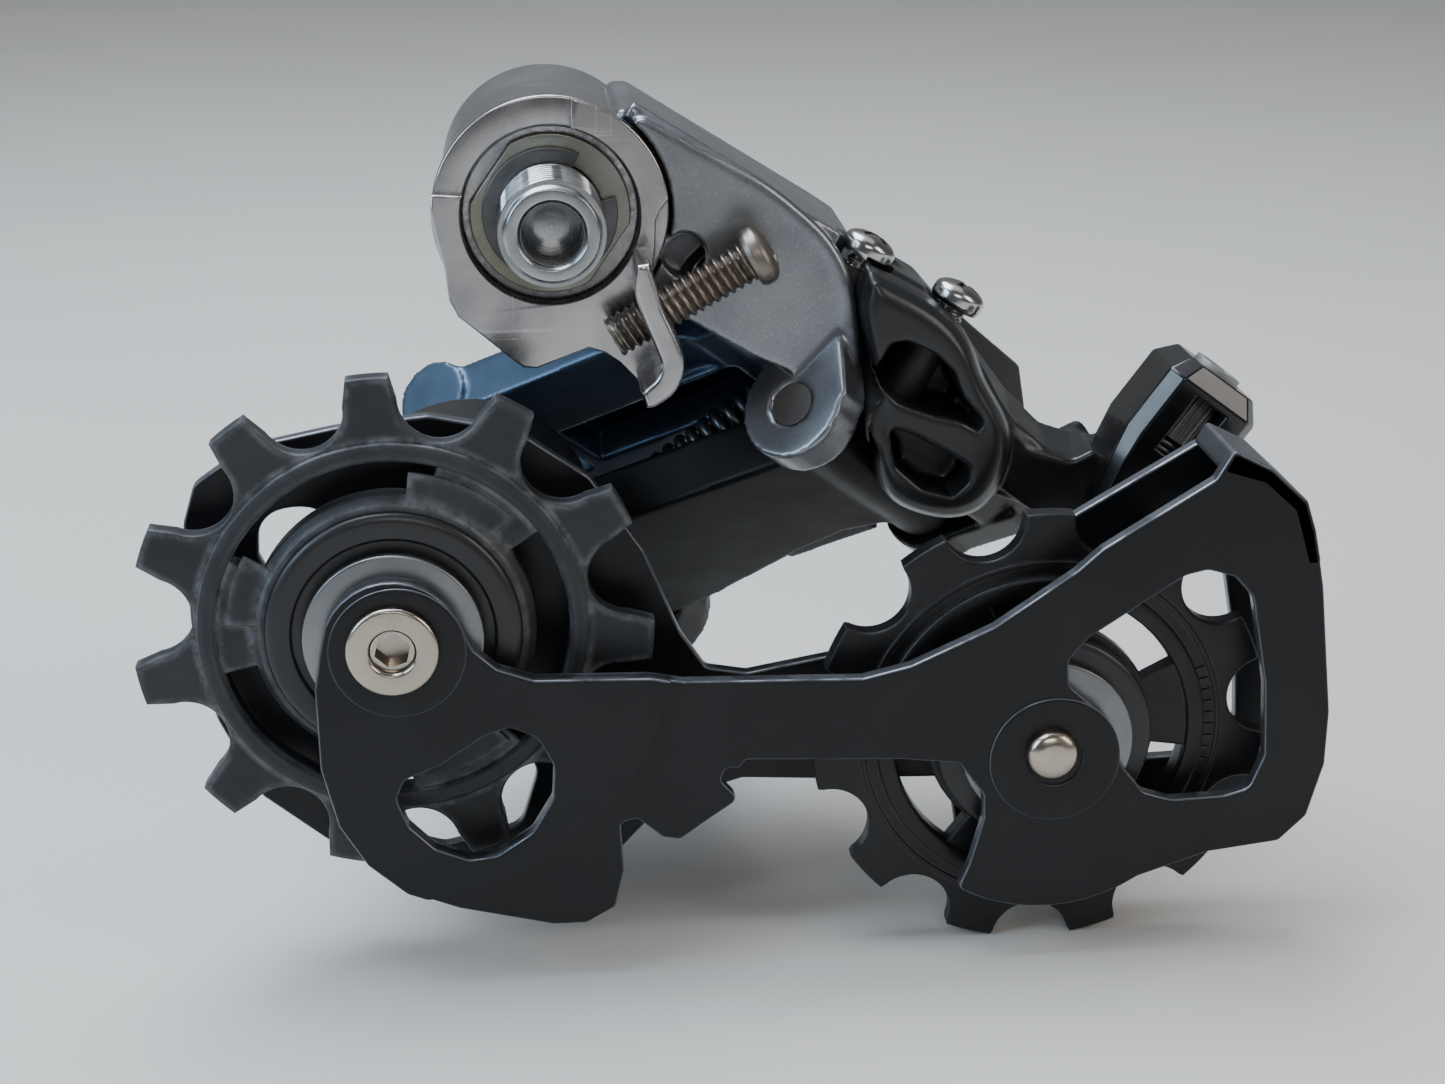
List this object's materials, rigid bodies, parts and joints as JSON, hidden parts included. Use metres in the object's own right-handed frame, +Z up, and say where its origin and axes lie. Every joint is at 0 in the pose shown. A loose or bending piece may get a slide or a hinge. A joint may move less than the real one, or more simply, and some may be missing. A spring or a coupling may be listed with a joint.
{
  "type": "rear bicycle derailleur",
  "caption": "Rear bicycle derailleur with a slant linkage, a sprung two-pulley chain cage, adjusting screws and a hanger bolt.",
  "frame": {"origin": "on the mounting bolt's axis, at the plane that meets the bicycle frame's hanger", "axes": "+X to the rear of the bicycle, +Y outboard away from the wheel along the mounting bolt, +Z up"},
  "size_m": [0.1133, 0.0607, 0.0824],
  "materials": {
    "bolt_steel": "turned steel",
    "zinc_steel": "zinc plated",
    "dark_steel": "dark steel",
    "polished_steel": "polished",
    "screw_steel": "bright plated",
    "grey_casting": "pearl grey paint",
    "bronze": "sintered bronze",
    "spring_steel": "spring steel",
    "black_rubber": "matte",
    "black_casting": "satin black",
    "black_gloss": "gloss black",
    "pin_steel": "ground steel",
    "black_plastic": "matte",
    "adjuster_alloy": "grey anodised",
    "blue_grey_alloy": "anodised",
    "black_plate": "satin black anodised",
    "warm_nickel": "nickel",
    "satin_steel": "satin",
    "charcoal_polymer": "worn moulded",
    "black_polymer": "worn moulded"
  },
  "bodies": {
    "hanger_side": {"mounting_bolt": "bolt_steel", "keyed_washer": "zinc_steel", "snap_ring": "dark_steel"},
    "stop_plate": {"stop_plate": "polished_steel"},
    "b_tension_screw": {"b_tension_screw": "screw_steel"},
    "b_knuckle": {"b_knuckle": "grey_casting", "b_bushing": "bronze", "b_spring": "spring_steel", "b_seal_ring": "black_rubber", "link_bracket": "black_casting", "cable_stop": "black_gloss", "link_pins_b": "pin_steel", "limit_screw_sleeves": "black_plastic", "adjuster_spring": "spring_steel", "return_spring": "spring_steel"},
    "limit_screw_high": {"limit_screw_high": "screw_steel"},
    "limit_screw_low": {"limit_screw_low": "screw_steel"},
    "barrel_adjuster": {"barrel_adjuster": "adjuster_alloy"},
    "outer_link": {"outer_link": "blue_grey_alloy", "outer_link_bushings": "bronze"},
    "inner_link": {"inner_link": "black_gloss", "inner_link_bushings": "bronze", "cable_anchor_bolt": "screw_steel", "cable_anchor_washer": "dark_steel"},
    "p_knuckle": {"p_knuckle": "black_casting", "link_pins_p": "pin_steel", "p_bushing": "bronze", "p_spring": "spring_steel", "p_seal_ring": "black_rubber", "p_axle_screw": "screw_steel"},
    "cage": {"p_axle": "pin_steel", "outer_cage_plate": "black_plate", "inner_cage_plate": "black_plate", "cage_stop_pin": "pin_steel", "guide_bolt": "warm_nickel", "guide_bushing": "bronze", "guide_dust_caps": "satin_steel", "tension_bolt": "warm_nickel", "tension_bushing": "bronze", "tension_dust_caps": "satin_steel"},
    "guide_pulley": {"guide_pulley": "charcoal_polymer"},
    "tension_pulley": {"tension_pulley": "black_polymer"}
  },
  "joints": [
    {"name": "stop_plate_tilt", "type": "hinge", "parent": "hanger_side", "child": "stop_plate", "pos_m": [0, 0, 0], "axis": [0, 1, 0], "range_deg": [-12, 10]},
    {"name": "b_screw_travel", "type": "slide", "parent": "stop_plate", "child": "b_tension_screw", "axis": [-0.8746, 0, -0.4848], "range_m": [-0.003, 0.003]},
    {"name": "b_pivot", "type": "hinge", "parent": "stop_plate", "child": "b_knuckle", "pos_m": [0, 0, 0], "axis": [0, 1, 0], "range_deg": [0, 30], "stiffness_Nm_per_rad": 0.3, "springref_deg": -68.75},
    {"name": "limit_high_travel", "type": "slide", "parent": "b_knuckle", "child": "limit_screw_high", "axis": [0.4924, 0, 0.8704], "range_m": [-0.001, 0.002]},
    {"name": "limit_low_travel", "type": "slide", "parent": "b_knuckle", "child": "limit_screw_low", "axis": [0.4924, 0, 0.8704], "range_m": [-0.001, 0.002]},
    {"name": "adjuster_turn", "type": "hinge", "parent": "b_knuckle", "child": "barrel_adjuster", "pos_m": [0.06552, 0.005, -0.02022], "axis": [0.5878, 0, 0.809], "range_deg": [-540, 540]},
    {"name": "inner_link_swing", "type": "hinge", "parent": "b_knuckle", "child": "inner_link", "pos_m": [0.02305, -0.001, -0.0189], "axis": [-0.5862, -0.5862, 0.5592], "range_deg": [0, 68], "stiffness_Nm_per_rad": 0.1, "springref_deg": -85.94, "deforming": ["return_spring"]},
    {"name": "outer_link_swing", "type": "hinge", "parent": "b_knuckle", "child": "outer_link", "pos_m": [0.02039, 0.00882, -0.0114], "axis": [-0.5862, -0.5862, 0.5592], "range_deg": [0, 68]},
    {"name": "p_knuckle_swing", "type": "hinge", "parent": "inner_link", "child": "p_knuckle", "pos_m": [-0.0061, 0.01349, -0.03427], "axis": [-0.5862, -0.5862, 0.5592], "range_deg": [-68, 0]},
    {"name": "cage_pivot", "type": "hinge", "parent": "p_knuckle", "child": "cage", "pos_m": [-0.0085, 0, -0.033], "axis": [0, 1, 0], "range_deg": [0, 90], "stiffness_Nm_per_rad": 0.15, "springref_deg": -114.59},
    {"name": "guide_spin", "type": "hinge", "parent": "cage", "child": "guide_pulley", "pos_m": [-0.0157, -0.0125, -0.0362], "axis": [0, 1, 0], "continuous": true},
    {"name": "tension_spin", "type": "hinge", "parent": "cage", "child": "tension_pulley", "pos_m": [0.04627, -0.0125, -0.04909], "axis": [0, 1, 0], "continuous": true}
  ],
  "couplings": [
    {"joint": "b_screw_travel", "follows": "stop_plate_tilt", "m_per_rad": -0.0126},
    {"joint": "outer_link_swing", "follows": "inner_link_swing", "ratio": 1},
    {"joint": "p_knuckle_swing", "follows": "inner_link_swing", "ratio": -1}
  ]
}
